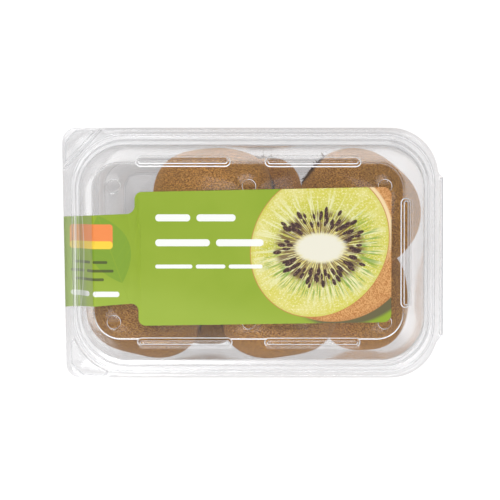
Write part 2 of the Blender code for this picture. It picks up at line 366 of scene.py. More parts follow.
def reach_out(x, y, box, radius):
    # Distance out from the edge of a rounded rectangle (left, right, bottom, top), sound near it and outside.
    left, right, bottom, top = box
    across = (abs(x - (left + right) / 2) - ((right - left) / 2 - radius)).most(0.0)
    up = (abs(y - (bottom + top) / 2) - ((top - bottom) / 2 - radius)).most(0.0)
    return (across * across + up * up) ** 0.5 - radius


def rounded_box(x, y, box, radius, soft):
    # 1 inside a rounded rectangle, 0 outside, soft at its edge.
    return reach_out(x, y, box, radius).ramp(soft, -soft)


def oval(x, y, centre, half):
    # 0 at the centre of an oval and 1 on its edge.
    across = (x - centre[0]) / half[0]
    up = (y - centre[1]) / half[1]
    return (across * across + up * up) ** 0.5


def edge_reach(x, y, outline):
    # Distance in mm out from an outline of the lid, sound near its edge.
    *box, radius, _ = outline
    return reach_out(x / (1.0 + TAPER * y * (x < 0.0)), y, box, radius)


def thin_line(reach, line):
    place, half = line
    return abs(reach - place).ramp(half + LINE_SOFT, half - LINE_SOFT)


def highlight_band(reach, band):
    start, full, still_full, end = band
    return reach.ramp(start, full) * reach.ramp(end, still_full)


def lid_highlight_lines(paint, place):
    # Painted highlights where light catches the ribs' outlines, the panel's near edge, the dimples, the
    # shoulder and the bead.
    x, y, z = [part / MM for part in paint.parts(place)]
    upper = z.ramp(*UPPER_SHEET)
    lines = []
    ribbed = []
    for cx, cy, length_x, length_y in RIBS:
        box = (cx - length_x / 2, cx + length_x / 2, cy - length_y / 2, cy + length_y / 2)
        reach = reach_out(x, y, box, min(length_x, length_y) / 2)
        # Painted highlights are stronger on a rib's near side, where the light falls
        near = (cy - y).ramp(-0.8, 0.8) if length_x > length_y else 0.5
        lines.append(thin_line(reach, RIB_FOOT_LINE) * (0.5 + 0.5 * near))
        lines.append(thin_line(reach, RIB_TOP_LINE) * (0.15 + 0.85 * near))
        ribbed.append(reach.ramp(0.2, -0.1))
    # The panel's edge gets its painted highlight mostly on its near side
    near_side = y.ramp(-26.0, -38.0)
    edge = thin_line(edge_reach(x, y, PANEL), PANEL_LINE) * (0.16 + 0.84 * near_side)
    lines.append(edge * (1.0 - largest(ribbed)))
    for cx in DIMPLE_COLUMNS:
        for cy in DIMPLE_ROWS:
            # Each dimple's painted highlight is stronger along one diagonal
            turned = ((x - cx) + (y - cy)) / DIMPLE_RADIUS
            ring = oval(x, y, (cx, cy), (1.0, 1.0)) - DIMPLE_RADIUS
            lines.append(thin_line(ring, DIMPLE_LINE) * (0.25 + 0.5 * abs(turned).ramp(0.3, 1.3)))
    # Painted highlight bands on the shoulder and on the bead's crest
    shoulder = highlight_band(edge_reach(x, y, WALL_FOOT), SHOULDER_BAND) * SHOULDER_HIGHLIGHT
    crest = highlight_band(edge_reach(x, y, BEAD_INNER), CREST_BAND) * CREST_HIGHLIGHT
    return (largest(lines) * upper).most(shoulder.most(crest) * (1.0 - upper))


# Print on the label, in mm from the pack's middle: green ground, bars in place of words, a leaf and a slice
GREEN = srgb(143, 170, 34)
CLOUD_GREEN = srgb(149, 174, 42)
DEEP_GREEN = srgb(124, 160, 38)
PALE_GREEN = srgb(160, 184, 62)
# White ink, which also serves for painted highlights on the tab and at the label's folds
WHITE_INK_AND_HIGHLIGHT = srgb(250, 251, 248)
DARK_INK = srgb(62, 62, 34)
ORANGE = srgb(244, 142, 74)
YELLOW = srgb(250, 212, 62)
# Grey of the painted reflection on the tab where it bends down the wall
TAB_REFLECTION = srgb(166, 178, 152)
PRINT_SOFT = 0.12

# Bars and patches: each row's lower and upper edge and corner radius, then the ends of each of its bars
WHITE_BARS = (
    (16.1, 19.5, 1.6, (-47.5, -30.5), (-27.5, -8.5)),
    (4.0, 7.4, 1.6, (-47.5, -21.0), (-18.0, 5.0)),
    (-6.8, -4.9, 0.9, (-47.5, -29.5), (-27.8, -13.5), (-11.8, 4.6)),
    (-20.7, -18.1, 1.2, (-91.0, -80.0), (-78.0, -65.0)),
)
DARK_BARS = (
    (-4.6, -3.2, 0.6, (-89.0, -79.5), (-78.0, -70.8)),
    (-8.8, -7.4, 0.6, (-91.0, -83.0), (-81.5, -67.8)),
    (-13.0, -11.6, 0.6, (-88.5, -72.5)),
)
PATCH = ((2.6, 14.6, 1.6, (-91.5, -68.2)),)
PATCH_BAND = ((2.6, 6.4, 1.6, (-91.5, -68.2)),)

# Where the tab's painted reflection begins and is full along x, then its painted highlight lines, each with
# its place and half width
TAB_REFLECTION_EDGES = (-82.0, -85.0)
TAB_GLINT = (-88.6, 0.3)
TAB_CURVED_GLINT = (-83.4, 0.25)
LEAF_CENTRE = (-69.5, 2.5)
LEAF_HALF = (9.8, 17.5)
SLICE_CENTRE = (32.4, 4.8)
SLICE_HALF = (33.4, 35.2)
SLICE_SLANT = 0.11
SKIN_CENTRE = (38.5, 5.0)
SKIN_HALF = (39.0, 37.8)
SHADOW_CENTRE = (42.0, 1.5)
SHADOW_HALF = (41.0, 36.6)
CORE_CENTRE = (32.6, 3.2)
CORE_HALF = (11.4, 6.7)
SEED_HALF = (20.5, 17.0)

# Seeds: how many each ring has and how far out it lies, how many mm a ring's unit is, and a seed's length
SEED_RINGS = ((23, 0.7), (31, 0.81), (29, 0.93), (17, 1.05))
RING_UNIT = 18.7
SEED_LENGTH = 2.1

# Colours of the pictured fruit: flesh from the core outwards, what lies over it, and its skin
FLESH = (
    (0.0, srgb(232, 222, 140)), (0.28, srgb(214, 196, 92)), (0.38, srgb(190, 188, 66)),
    (0.52, srgb(202, 200, 72)), (0.66, srgb(214, 208, 82)), (0.9, srgb(222, 212, 92)),
)
PALE_PATCH = srgb(236, 228, 160)
PALE_GRAIN = srgb(246, 242, 192)
GREEN_GRAIN = srgb(176, 192, 56)
PALE_RAY = srgb(240, 238, 190)
GREEN_RAY = srgb(112, 156, 40)
BROWN_RAY = srgb(100, 64, 36)
SEED = srgb(62, 38, 34)
SEED_GLEAM = srgb(132, 98, 84)
CORE = srgb(238, 234, 216)
OUTER_FLESH = srgb(206, 202, 74)
CUT_RIM = srgb(196, 132, 70)
RIM_LIGHT = srgb(250, 226, 178)
DRAWN_SKIN = srgb(182, 114, 52)
DRAWN_FUZZ = srgb(230, 176, 112)
DRAWN_EDGE = srgb(172, 104, 54)
DRAWN_SHADOW = srgb(96, 80, 64)

# Colours of the real fruit
SKIN_DARK = srgb(129, 77, 17)
SKIN_LIGHT = srgb(232, 169, 74)
SPECKLE = srgb(104, 62, 26)
BLOTCH = srgb(150, 112, 58)
CALYX_AND_SHADE_BROWN = srgb(60, 38, 22)
FUZZ_DARK = srgb(150, 92, 40)
FUZZ_LIGHT = srgb(232, 176, 104)


def seed_ring(paint, angle, ring, number):
    # One ring of seeds: a cell for each, in which it sits a little off its place.
    count, lift = SEED_RINGS[number]
    turn = angle * (count / math.tau) + number * 0.37
    cell = turn.math("FLOOR")
    random = paint.chance(paint.join(cell, float(number), 0.0))
    aside = (turn - cell - 0.5 - (random[0] - 0.5) * 0.4) * (math.tau / count) * ring * RING_UNIT
    along = (ring - lift - (random[1] - 0.5) * 0.12) * RING_UNIT
    size = 0.7 + 0.45 * random[2]
    reach = (aside ** 2.0 + (along / SEED_LENGTH) ** 2.0) ** 0.5 / size
    return reach.ramp(1.12, 0.78) * random[1].ramp(0.16, 0.2)


def kiwi_slice(paint, x, y):
    # The cut face of a kiwi fruit: pale core, seeds, rays, flesh and its rim.
    across = x - CORE_CENTRE[0]
    up = y - CORE_CENTRE[1]
    angle = up.math("ARCTAN2", across) + math.pi
    reach = oval(x - SLICE_SLANT * (y - SLICE_CENTRE[1]), y, SLICE_CENTRE, SLICE_HALF)
    ring = oval(x, y, CORE_CENTRE, SEED_HALF)
    core = oval(x, y, CORE_CENTRE, CORE_HALF)
    around = paint.join(angle.math("COSINE") * 9.0, angle.math("SINE") * 9.0, ring * 0.6)
    streaks = paint.noise(around, 1.7, 3.0, 0.6)
    fine = paint.noise(around, 2.7, 2.0, 0.6)
    grain = paint.noise(paint.join(x, y, 0.0), 1.1, 3.0, 0.8)
    patches = paint.noise(paint.join(x, y, 3.0), 0.09, 2.0, 0.6)
    band = ring.ramp(0.5, 0.7) * ring.ramp(1.9, 1.2)
    outer = ring.ramp(0.9, 1.05) * ring.ramp(1.6, 1.25)
    green = fine.ramp(0.5, 0.4) * outer * (up - across * 0.4).ramp(18.0, -4.0)
    spokes = fine.ramp(0.45, 0.52) * ring.ramp(1.16, 0.95) * core.ramp(0.98, 1.15)
    seeds = largest([seed_ring(paint, angle, ring, number) for number in range(len(SEED_RINGS))])
    edge = core + (streaks - 0.5) * 0.45
    flesh = paint.layers(paint.stops(ring * 0.45, FLESH), (
        (patches.ramp(0.4, 0.66) * 0.5, PALE_PATCH),
        (grain.ramp(0.52, 0.62) * 0.8, PALE_GRAIN),
        (grain.ramp(0.45, 0.32) * 0.45, GREEN_GRAIN),
        (streaks.ramp(0.5, 0.6) * band * 0.75, PALE_RAY),
        (green * 0.8, GREEN_RAY),
        (spokes * 0.85, BROWN_RAY),
        (seeds, paint.mix(grain.ramp(0.55, 0.6), SEED, SEED_GLEAM)),
        (edge.ramp(1.25, 0.85), CORE),
        (reach.ramp(0.94, 0.99) * 0.5, OUTER_FLESH),
        (reach.ramp(0.996, 1.0), CUT_RIM),
    ))
    return flesh, reach.ramp(1.012, 1.004)


def leaf_print(x, y):
    # Masks of a slanted leaf with pointed ends, and of its veins.
    tilt_x = (x - LEAF_CENTRE[0]) * 0.94 + (y - LEAF_CENTRE[1]) * 0.34
    tilt_y = (y - LEAF_CENTRE[1]) * 0.94 - (x - LEAF_CENTRE[0]) * 0.34
    pinch = LEAF_HALF[0] * (1.0 - (tilt_y / LEAF_HALF[1]) ** 2.0).most(0.0)
    leaf = (abs(tilt_x) - pinch).ramp(0.15, -0.15)
    veins = abs(((tilt_y - abs(tilt_x) * 0.8) / 4.2).math("FRACT") - 0.5).ramp(0.05, 0.02)
    return leaf, abs(tilt_x).ramp(0.3, 0.12).most(veins * 0.6)


def bars(x, y, rows):
    return largest([rounded_box(x, y, (left, right, low, high), radius, PRINT_SOFT)
                    for low, high, radius, *ends in rows for left, right in ends])


def label_print():
    paint = Paint("label_print")
    place = paint.place()
    x, y, _ = [part / MM for part in paint.parts(place)]
    cloud = paint.noise(place, 38.0, 2.0)
    leaf, vein = leaf_print(x, y)
    flesh, flesh_mask = kiwi_slice(paint, x, y)
    fuzz = paint.noise(place, 2000.0, 2.0, 0.7)
    shade = oval(x, y, SKIN_CENTRE, SKIN_HALF)
    skin = paint.mix(fuzz.ramp(0.35, 0.65), DRAWN_SKIN, DRAWN_FUZZ)
    skin = paint.mix(shade.ramp(0.93, 1.0) * 0.4, skin, DRAWN_EDGE)
    shadow = oval(x, y, SHADOW_CENTRE, SHADOW_HALF).ramp(1.02, 0.96)
    shadow = shadow * y.ramp(-8.0, -20.0) * x.ramp(20.0, 34.0)
    rim_line = oval(x - SLICE_SLANT * (y - SLICE_CENTRE[1]) - 1.6, y - 0.8, SLICE_CENTRE, SLICE_HALF)
    # Painted highlights along the tab's bends
    glints = thin_line(x, TAB_GLINT).most(thin_line(x + y * y * 0.003, TAB_CURVED_GLINT) * 0.7)
    printed = paint.layers(GREEN, (
        (cloud.ramp(0.35, 0.7), CLOUD_GREEN),
        ((y + x * 0.2).ramp(-18.0, -36.0) * 0.7, PALE_GREEN),
        (leaf * 0.85, DEEP_GREEN),
        (leaf * vein * 0.6, GREEN),
        (shadow * 0.88, DRAWN_SHADOW),
        (shade.ramp(1.004, 0.992) * x.ramp(16.0, 22.0), skin),
        (rim_line.ramp(1.02, 0.99) * y.ramp(-8.0, 16.0) * 0.85, RIM_LIGHT),
        (flesh_mask, flesh),
        (bars(x, y, WHITE_BARS) * 0.96, WHITE_INK_AND_HIGHLIGHT),
        (bars(x, y, DARK_BARS) * 0.8, DARK_INK),
        (bars(x, y, PATCH), ORANGE),
        (bars(x, y, PATCH_BAND), YELLOW),
        # Painted reflection on the tab, painted highlights on its bends and where the label bends over the
        # lid's folds
        ((x + y * 0.06).ramp(*TAB_REFLECTION_EDGES) * 0.5, TAB_REFLECTION),
        (glints * 0.7, WHITE_INK_AND_HIGHLIGHT),
        (paint.fold() * 0.5, WHITE_INK_AND_HIGHLIGHT),
    ))
    lean = paint.bump(paint.noise(place, 45.0, 1.0), 0.1, 0.001)
    return paint.show(paint.surface(Base_Color=printed, Roughness=0.42, Normal=lean))


def skin_paint(name, seed, tone, half_length):
    # Brown skin under short fuzz: fibres along the fruit, speckle, soft blotches and a dark calyx end, made
    # wide enough to paint the shade round that end too.
    paint = Paint(name)
    place = paint.place()
    end = paint.parts(place)[0] / half_length
    moved = paint.vector("ADD", place, (seed * 0.37, seed * 0.11, 0))
    fibres = paint.noise(paint.vector("MULTIPLY", moved, (0.75, 1.0, 1.0)), 1650.0, 2.0, 0.6)
    ragged = paint.noise(moved, 260.0, 2.0)
    speckle = paint.noise(moved, 1500.0, 1.0, 0.6)
    blotch = paint.noise(moved, 48.0, 2.0)
    # Dark calyx end, with painted shade round it
    calyx = (end + (ragged - 0.5) * 0.06).ramp(*CALYX_AND_SHADE_SPAN)
    colour = paint.layers(toned(SKIN_DARK, tone), (
        (fibres.ramp(0.29, 0.71), toned(SKIN_LIGHT, tone)),
        (speckle.ramp(0.52, 0.7) * 0.5, SPECKLE),
        (blotch.ramp(0.45, 0.8) * 0.35, BLOTCH),
        (calyx * 0.75, CALYX_AND_SHADE_BROWN),
    ))
    lean = paint.bump(fibres + speckle, 0.45, 0.0004)
    return paint.show(paint.surface(Base_Color=colour, Roughness=0.9, Normal=lean))


def fuzz_paint(name, half_length):
    paint = Paint(name)
    place = paint.place()
    end = paint.parts(place)[0] / half_length
    tuft = paint.noise(place, 1400.0, 1.0)
    colour = paint.mix(tuft.ramp(0.35, 0.65), FUZZ_DARK, FUZZ_LIGHT)
    # Hairs near the calyx end are darker: the calyx's own colour and painted shade round it
    colour = paint.mix(end.ramp(*CALYX_AND_SHADE_SPAN) * 0.85, colour, CALYX_AND_SHADE_BROWN)
    return paint.show(paint.surface(Base_Color=colour, Roughness=0.8))


def floor_paint():
    # A pale floor with a painted pool of light round the pack, brightest past its far side and dim further
    # out, and a painted shadow under the pack.
    paint = Paint("floor")
    place = paint.place()
    x, y, _ = paint.parts(place)
    under = rounded_box(x, y, PACK_SHADOW_BOX, 0.025, 0.02)
    pool = rounded_box(x, y, POOL, 0.04, 0.035)
    foot = rounded_box(x, y, PACK_FOOT, 0.014, 0.003)
    colour = paint.mix(paint.noise(place, 40.0, 3.0), *map(grey, FLOOR_GREYS))
    # Painted shadow under the pack, in the floor's colour
    colour = paint.mix(under * 0.7, colour, srgb(*FLOOR_SHADOW_TONE))
    colour = paint.mix(pool, grey(FLOOR_OUTER_GREY), colour)
    # Painted shadow in the glow: darker inside the pack's footprint than round it, lighter on its near side
    # and right end, darkest under the pack
    shade = paint.layers(grey(PACK_GREY), (
        (y.ramp(-0.03, -0.058), grey(NEAR_GREY)),
        (x.ramp(0.07, 0.088), grey(RIGHT_GREY)),
        (under, grey(PACK_SHADOW_GREY)),
    ))
    glow = paint.mix(foot, grey(POOL_BRIGHT), shade)
    glow = paint.mix(y.ramp(*POOL_FAR), glow, grey(POOL_FAR_GREY))
    glow = paint.mix(pool, grey(POOL_DIM), glow)
    return paint.show(paint.surface(Base_Color=colour, Roughness=0.9, Emission_Color=glow,
                                    Emission_Strength=POOL_GLOW))


def tapered(x, y):
    # The left end of the rim is a little wider at the top of the plan than at the bottom.
    return x + TAPER * y * min(0.0, x)


def grown(outline, by):
    left, right, bottom, top, r_left, r_right = outline
    return (left - by, right + by, bottom - by, top + by, max(r_left + by, 0.5), max(r_right + by, 0.5))


def between(first, second, share):
    return tuple(a + (b - a) * share for a, b in zip(first, second))


def side_stops(start, end, busy):
    # Where columns cross one straight side, as shares of its length: close together near each busy place.
    length = end - start
    stops = []
    share = 0.0
    while True:
        near = min((abs(start + share * length - place) for place in busy), default=99.0)
        share += (0.4 if near < 4.5 else 3.2) / abs(length)
        if share >= 1.0:
            return stops
        stops.append(share)


def rib_ends(axis, other_sign):
    # The places along X (0) or Y (1) where the ribs on one side of the lid have their ends.
    ends = []
    for rib in RIBS:
        if rib[2 + axis] > rib[3 - axis] and rib[1 - axis] * other_sign > 0:
            ends += [rib[axis] + side * (rib[2 + axis] / 2 - 1.2) for side in (-1, 1)]
    return ends


def column_stops(outline, ribbed):
    # For the top, left, bottom and right side in turn, anticlockwise.
    left, right, bottom, top, r_left, r_right = outline
    busy = [rib_ends(0, 1), [], rib_ends(0, -1), rib_ends(1, 1)] if ribbed else [[]] * 4
    return (side_stops(right - r_right, left + r_left, busy[0]),
            side_stops(top - r_left, bottom + r_left, busy[1]),
            side_stops(left + r_left, right - r_right, busy[2]),
            side_stops(bottom + r_right, top - r_right, busy[3]))


def arc(cx, cy, radius, start, turn, steps):
    # Points on an arc from an angle, through a turn.
    angles = [start + turn * step / steps for step in range(steps + 1)]
    return [(cx + radius * math.cos(a), cy + radius * math.sin(a)) for a in angles]


def outline_points(outline, stops):
    # Anticlockwise from the right side's upper end, in mm: each corner's arc, then the side after it.
    left, right, bottom, top, r_left, r_right = outline
    corners = ((right - r_right, top - r_right, r_right), (left + r_left, top - r_left, r_left),
               (left + r_left, bottom + r_left, r_left), (right - r_right, bottom + r_right, r_right))
    quarter = math.pi / 2
    arcs = [arc(*corner, number * quarter, quarter, CORNER_STEPS) for number, corner in enumerate(corners)]
    points = []
    for number in range(4):
        points += arcs[number]
        start = arcs[number][-1]
        end = arcs[(number + 1) % 4][0]
        points += [between(start, end, share) for share in stops[number]]
    return [(tapered(x, y), y) for x, y in points]


def corner_arc(here, back, on, reach, steps):
    # Points of a smooth arc in place of a corner: back and on lead away from it along its sides.
    start = here + back.normalized() * reach
    end = here + on.normalized() * reach
    shares = [step / steps for step in range(steps + 1)]
    return [tuple(start * (1 - t) ** 2 + here * 2 * t * (1 - t) + end * t ** 2) for t in shares]


def rounded_profile(points, steps=5):
    # Points are (across, height, rounding). Each inner corner becomes an arc.
    made = [points[0][:2]]
    for before, corner, after in zip(points, points[1:], points[2:]):
        here = Vector(corner[:2])
        back = Vector(before[:2]) - here
        on = Vector(after[:2]) - here
        if corner[2] <= 0.0:
            made.append(tuple(here))
            continue
        turn = math.pi - back.angle(on)
        reach = min(corner[2] * math.tan(turn / 2), 0.45 * back.length, 0.45 * on.length)
        made += corner_arc(here, back, on, reach, steps)
    made.append(points[-1][:2])
    return made


def divided(profile, spacing):
    # The same line with points no further apart than the spacing at each place.
    made = [profile[0]]
    for (x0, z0), (x1, z1) in zip(profile, profile[1:]):
        count = max(1, math.ceil((x1 - x0) / spacing((x0 + x1) / 2)))
        for step in range(1, count + 1):
            made.append((x0 + (x1 - x0) * step / count, z0 + (z1 - z0) * step / count))
    return made


def outline_at(stations, out):
    # The outline of the lid or tray at a distance out from its first outline's edge.
    known = [station[:2] for station in stations if station[1]]
    if out <= 0.0:
        return grown(known[0][1], out)
    for (near, first), (far, second) in zip(known, known[1:]):
        if out <= far:
            return between(first, second, (out - near) / (far - near))
    return grown(known[-1][1], out - known[-1][0])


def rib_rise(x, y):
    # 1 on top of a rib, 0 off it, with a smooth slope along its sides and round its ends.
    best = 0.0
    for cx, cy, length_x, length_y in RIBS:
        radius = min(length_x, length_y) / 2
        over_x = max(abs(x - cx) - (length_x / 2 - radius), 0.0)
        over_y = max(abs(y - cy) - (length_y / 2 - radius), 0.0)
        inside = radius - math.hypot(over_x, over_y)
        share = min(max(inside / RIB_SLOPE, 0.0), 1.0)
        best = max(best, share * share * (3.0 - 2.0 * share))
    return best


class Skin:
    """Points and faces of one thin sheet, put together from parts that share their edges."""

    def __init__(self):
        self.points = []
        self.faces = []

    def rings(self, rings, flip=False):
        # Closed rings of equal length, from the inside out.
        count = len(rings[0])
        base = len(self.points)
        self.points += [point for ring in rings for point in ring]
        for row in range(len(rings) - 1):
            for i in range(count):
                j = (i + 1) % count
                a = base + row * count
                face = (a + i, a + count + i, a + count + j, a + j)
                self.faces.append(face[::-1] if flip else face)

    def relief(self, outer, holes, features, height, flip=False):
        # A flat sheet inside an outline, less its holes. A feature is nested outlines, each with a height.
        loops = [(outer, height)] + [(hole, height) for hole in holes]
        loops += [(loop, z) for feature in features for loop, z in feature]
        flat, edges, heights = [], [], []
        for loop, z in loops:
            start = len(flat)
            flat += [Vector(point) for point in loop]
            heights += [z] * len(loop)
            edges += [(start + i, start + (i + 1) % len(loop)) for i in range(len(loop))]
        found, _, triangles, origins, _, _ = delaunay_2d_cdt(flat, edges, [], 1, 1e-7)
        base = len(self.points)
        for point, origin in zip(found, origins):
            self.points.append((point.x, point.y, heights[origin[0]]))
        for triangle in triangles:
            middle = sum((found[i] for i in triangle), Vector((0.0, 0.0))) / 3
            if not any(holds(hole, middle) for hole in holes):
                face = tuple(base + i for i in triangle)
                self.faces.append(face[::-1] if flip else face)

    def strip(self, rows):
        # Open rows of equal length, each joined to the next.
        count = len(rows[0])
        base = len(self.points)
        self.points += [point for row in rows for point in row]
        for row in range(len(rows) - 1):
            for i in range(count - 1):
                a = base + row * count + i
                self.faces.append((a, a + 1, a + count + 1, a + count))

    def piece(self, name, material, up=1.0, thick=0.0):
        # The sheet as an object, in metres, with its points joined and its front up (1) or down (-1).
        data = bpy.data.meshes.new(name)
        data.from_pydata([(x * MM, y * MM, z * MM) for x, y, z in self.points], [], self.faces)
        shape = bmesh.new()
        shape.from_mesh(data)
        bmesh.ops.remove_doubles(shape, verts=shape.verts, dist=2e-6)
        bmesh.ops.recalc_face_normals(shape, faces=shape.faces)
        shape.normal_update()
        if up * sum(face.normal.z * face.calc_area() for face in shape.faces) < 0.0:
            bmesh.ops.reverse_faces(shape, faces=shape.faces)
        mark_folds(shape)
        shape.to_mesh(data)
        shape.free()
        return dressed(name, data, material, thick)


def mark_folds(shape):
    # Each point's mark says how tightly the sheet bends there, from the turn at its edges.
    layer = shape.verts.layers.float.new(FOLD_MARK)
    low, high = FOLD_BENDS
    for edge in shape.edges:
        if len(edge.link_faces) != 2 or edge.verts[0].co.z > FOLD_TOP * MM:
            continue
        turn = edge.calc_face_angle(0.0)
        if turn < 0.02:
            continue
        width = sum(face.calc_area() for face in edge.link_faces) / edge.calc_length() / 2
        mark = min(max((turn / (width / MM) - low) / (high - low), 0.0), 1.0)
        for point in edge.verts:
            point[layer] = max(point[layer], mark)


def put(name, data):
    made = bpy.data.objects.new(name, data)
    bpy.context.scene.collection.objects.link(made)
    return made


def dressed(name, data, material, thick=0.0):
    for polygon in data.polygons:
        polygon.use_smooth = True
    data.materials.append(material)
    made = put(name, data)
    if thick:
        shell = made.modifiers.new("film", "SOLIDIFY")
        shell.thickness = thick * MM
        shell.offset = -1.0
        shell.use_even_offset = True
        shell.thickness_clamp = 0.9
    return made


def holds(outline, point):
    # Whether a closed outline goes round a point.
    inside = False
    x, y = point
    for (x0, y0), (x1, y1) in zip(outline, outline[1:] + outline[:1]):
        if (y0 > y) != (y1 > y) and x < x0 + (y - y0) * (x1 - x0) / (y1 - y0):
            inside = not inside
    return inside


def circle(cx, cy, radius, steps=44):
    return arc(cx, cy, radius, 0.0, math.tau, steps)[:-1]


def stadium(start, end, radius, steps=10):
    # The outline of a round-ended bar, anticlockwise.
    heading = math.atan2(end[1] - start[1], end[0] - start[0])
    return (arc(*end, radius, heading - math.pi / 2, math.pi, steps)
            + arc(*start, radius, heading + math.pi / 2, math.pi, steps))


def inset_polygon(corners, by):
    # A convex polygon, anticlockwise, with every side moved in.
    lines = []
    for first, second in zip(corners, corners[1:] + corners[:1]):
        side = (Vector(second) - Vector(first)).normalized()
        lines.append((Vector(first) + Vector((-side.y, side.x)) * by, side))
    made = []
    for (p, d), (q, e) in zip(lines[-1:] + lines[:-1], lines):
        share = (q - p).cross(e) / d.cross(e)
        made.append(tuple(p + d * share))
    return made


def softened(corners, inset, radius, steps=4):
    # A convex polygon, moved in and with its corners rounded.
    moved = inset_polygon(list(corners), inset)
    made = []
    for before, corner, after in zip(moved[-1:] + moved[:-1], moved, moved[1:] + moved[:1]):
        here = Vector(corner)
        back = Vector(before) - here
        on = Vector(after) - here
        made += corner_arc(here, back, on, min(radius, 0.4 * back.length, 0.4 * on.length), steps)
    return made


def flange_edge():
    # The flange's outer edge with the hinge bar's straight edge let in at its right end.
    points = [p for p in outline_points(FLANGE, column_stops(FLANGE, False))
              if not (p[0] > 80.0 and BAR_LOW - 0.3 < p[1] < BAR_HIGH + 0.3)]
    near = BAR_EDGE - BAR_CHAMFER
    return points + [(near, BAR_LOW), (BAR_EDGE, BAR_LOW + BAR_CHAMFER), (BAR_EDGE, BAR_HIGH - BAR_CHAMFER),
                     (near, BAR_HIGH)]


def pad_outline():
    # The finger pad fills the flange's near left corner and keeps clear of the bead's round corner.
    left, _, bottom, _, radius, _ = grown(BEAD_FOOT, 0.6 + PAD_CLEAR)
    round_side = arc(left + radius, bottom + radius, radius, math.radians(250), math.radians(-50), 10)
    return [(tapered(x, y), y) for x, y in [*PAD_CORNERS, *round_side]]


def raised(outline_at, width, low, high):
    # Nested outlines of a low raised form: a flat margin, a rounded slope and its top.
    points = [(0.0, low, 0.0), (0.25, low, 0.2), (width, high, 0.2), (width + 0.25, high, 0.0)]
    return [(outline_at(inset), z) for inset, z in rounded_profile(points, 4)]


def lid_spacing(out):
    # Rings lie close together over the panel's edge and from the wall's foot outwards.
    if -2.6 < out < 3.6:
        return 0.24
    return 0.32 if out > 8.4 else 1.6


def make_lid(material):
    stops = column_stops(PANEL, True)
    profile = rounded_profile([(u, z, r) for u, _, z, r in LID_STATIONS])
    profile = divided(profile, lid_spacing)
    rings = []
    for out, z in profile:
        ring = []
        for x, y in outline_points(outline_at(LID_STATIONS, out), stops):
            rise = rib_rise(x, y) if out < 6.0 else 0.0
            ring.append((x, y, z + (RIB_TOP - z) * rise))
        rings.append(ring)
    skin = Skin()
    skin.rings(rings)
    deep = LID_TOP - DIMPLE_DEPTH
    slope = ((0.5, LID_TOP, 0.0), (0.1, LID_TOP, 0.25), (-0.5, deep, 0.25), (-1.4, deep, 0.0))
    dimple = rounded_profile([(DIMPLE_RADIUS + out, z, rounding) for out, z, rounding in slope], 4)
    features = [[(circle(cx, cy, radius), z) for radius, z in dimple]
                for cx in DIMPLE_COLUMNS for cy in DIMPLE_ROWS]
    skin.relief([p[:2] for p in rings[0]], [], features, LID_TOP)

    low, high = LID_FLANGE, LID_FLANGE + RIDGE_HEIGHT
    ridge = raised(lambda inset: stadium(*RIDGE, RIDGE_WIDTH / 2 + 0.25 - inset), 0.4, low, high)
    corner = raised(lambda inset: softened(CORNER_PAD, inset, 0.8), 0.4, low, high)
    pad = raised(lambda inset: softened(pad_outline(), inset, 0.6), 0.4, low, low + RELIEF_HEIGHT)
    middle = BAR_EDGE - 1.15
    bar = raised(lambda inset: stadium((middle, BAR_LOW + 3.2), (middle, BAR_HIGH - 3.2), 0.95 - inset),
                 0.6, low, low + 0.35)
    skin.relief(flange_edge(), [[p[:2] for p in rings[-1]]], [ridge, corner, pad, bar], low)
    lid = skin.piece("lid_shell", material, 1.0, FILM)
    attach(lid, "lid")
    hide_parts("lid")
    return profile


def make_tray(material):
    stops = column_stops(TRAY_MOUTH, False)
    flange = RIM - 0.15 - FILM
    stations = ((-0.8, None, 0.0, 0.0), (0.0, TRAY_FOOT, 0.0, 0.5), (3.4, TRAY_HEEL, 3.4, 1.2),
                (7.0, TRAY_MOUTH, flange, 0.6), (7.8, None, flange, 0.0))
    rings = []
    for out, z in divided(rounded_profile([(u, z, r) for u, _, z, r in stations]), lambda u: 0.6):
        rings.append([(x, y, z) for x, y in outline_points(outline_at(stations, out), stops)])
    skin = Skin()
    skin.rings(rings)
    plain = column_stops(TRAY_STEP, False)
    step = raised(lambda inset: outline_points(grown(TRAY_STEP, -inset), plain), 1.1, 0.0, 0.75)
    skin.relief([p[:2] for p in rings[0]], [], [step], 0.0)
    skin.relief(flange_edge(), [[p[:2] for p in rings[-1]]], [], flange)
    tray = skin.piece("tray_shell", material, -1.0, FILM)
    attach(tray, "tray")
    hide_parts("tray")


def make_hinge_fold(material):
    # The fold between the two halves: a thin sheet round the hinge's axis, open towards the far side.
    radius = 0.42
    centre = BAR_EDGE - 0.05 - radius
    turned = arc(centre, RIM, radius, -math.pi / 2, math.pi, 12)
    rows = [[(x, y, z) for x, z in turned] for y in (BAR_LOW + BAR_CHAMFER, 0.0, BAR_HIGH - BAR_CHAMFER)]
    skin = Skin()
    skin.strip(rows)
    fold = skin.piece("hinge_fold", material)
    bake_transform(fold)


def round_step(along, height):
    # The rise of an edge that turns up by one arc, goes straight up and turns level by a second arc.
    first, second = STEP_RADII
    if along <= 0.0:
        return 0.0
    if along < first:
        return first - math.sqrt(first ** 2 - along ** 2)
    if along < first + second:
        return height - second + math.sqrt(second ** 2 - (first + second - along) ** 2)
    return height


